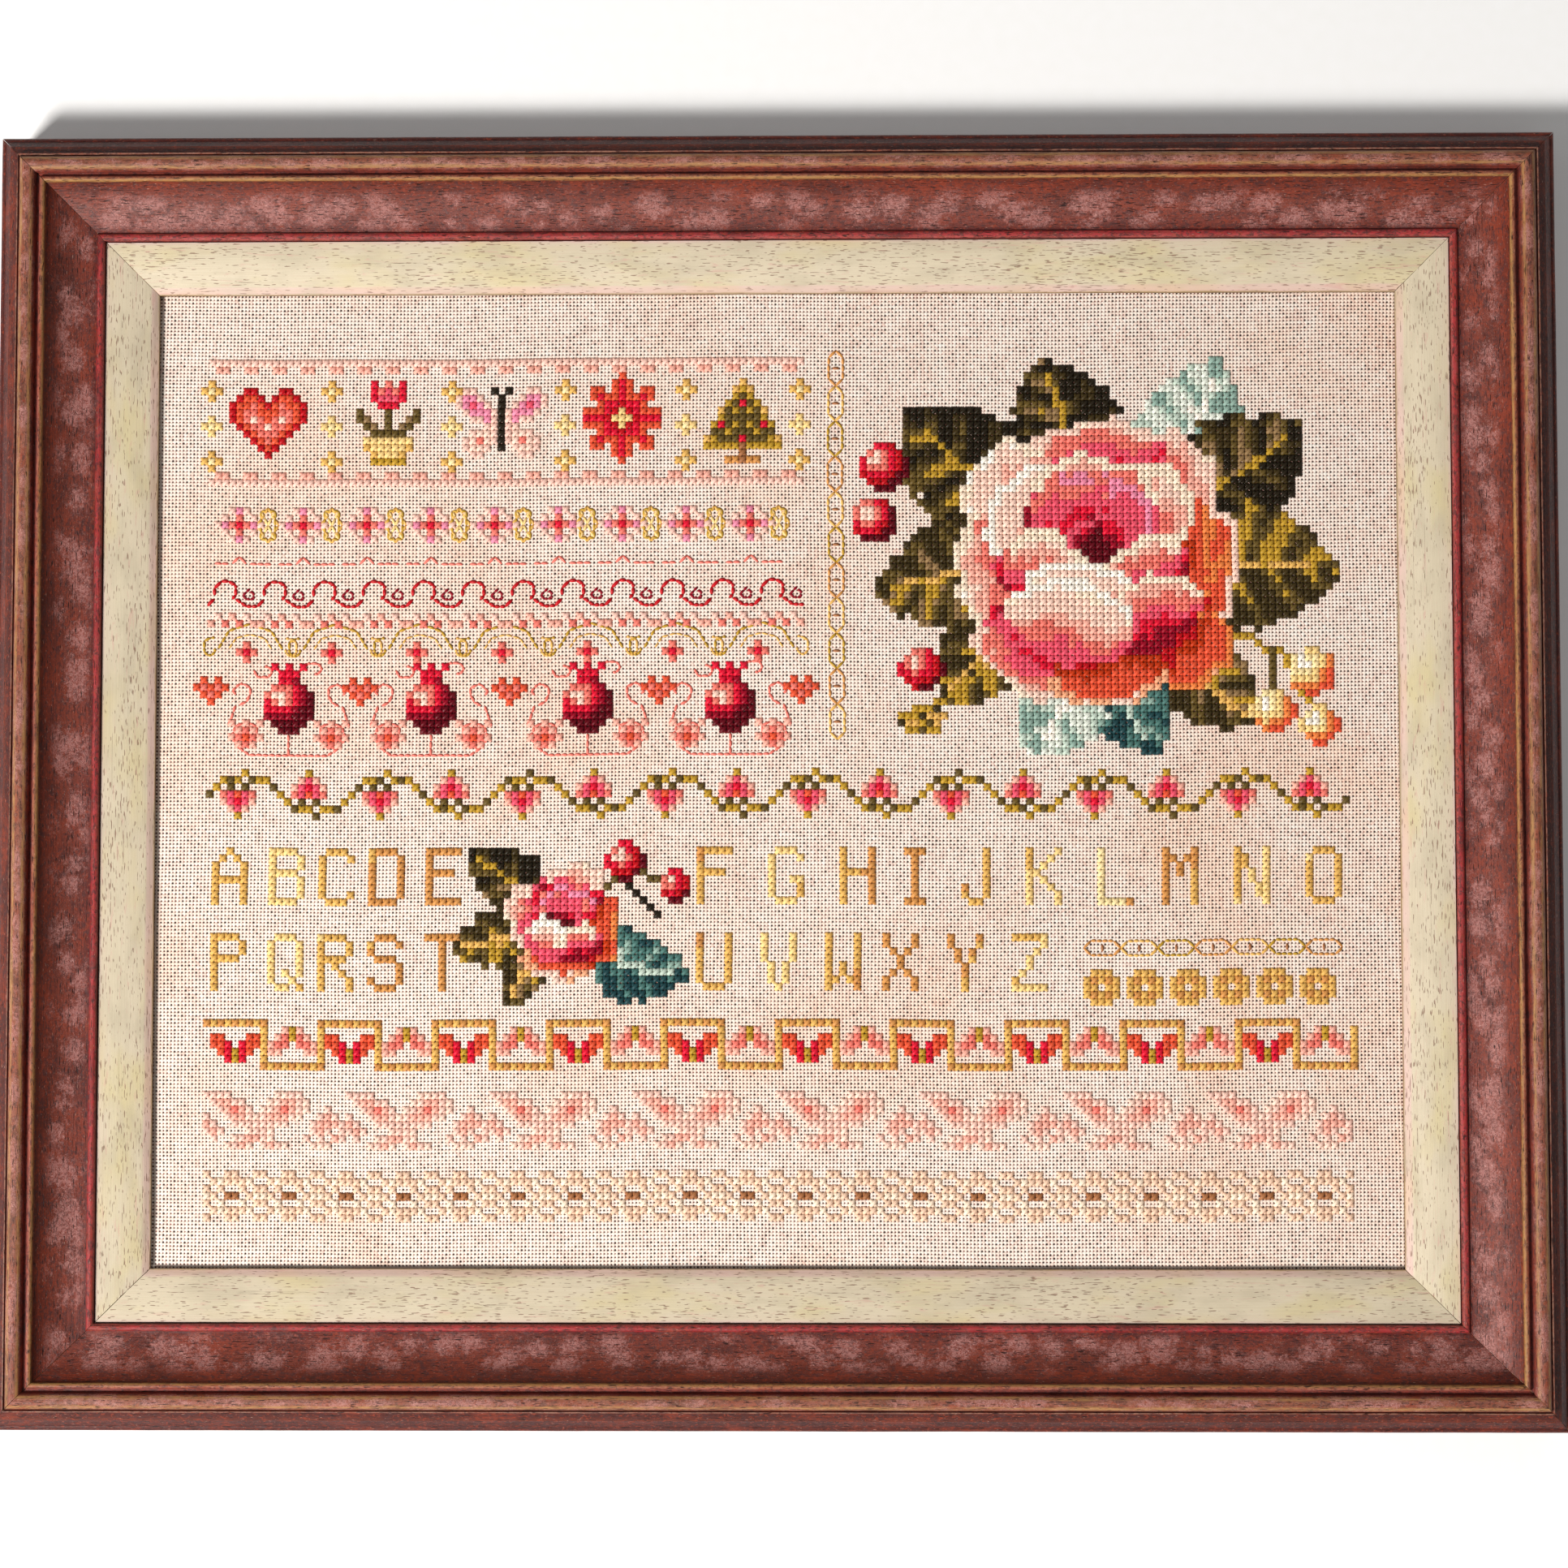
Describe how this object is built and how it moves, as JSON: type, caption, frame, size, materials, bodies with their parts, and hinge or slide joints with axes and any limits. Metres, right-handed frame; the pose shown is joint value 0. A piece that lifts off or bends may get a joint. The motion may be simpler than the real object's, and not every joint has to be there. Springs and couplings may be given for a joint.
{
  "type": "cross stitch sampler in a wooden picture frame",
  "caption": "Stitched linen sampler held flat in a mitred wooden picture frame with a cream liner; lies on its back or stands against a wall.",
  "frame": {"origin": "centre of the frame's back plane, on the surface that it lies on", "axes": "+X along the sampler's long side, +Y towards its top edge, +Z out of the stitched face"},
  "size_m": [0.395, 0.327, 0.0226],
  "materials": {
    "red_wood": "satin",
    "cream_wood": "satin",
    "linen": "matte",
    "board": "matte"
  },
  "bodies": {
    "root": {"rail_bottom": "red_wood", "rail_right": "red_wood", "rail_top": "red_wood", "rail_left": "red_wood", "liner_bottom": "cream_wood", "liner_right": "cream_wood", "liner_top": "cream_wood", "liner_left": "cream_wood", "linen_cloth": "linen", "backing_board": "board"}
  },
  "joints": []
}
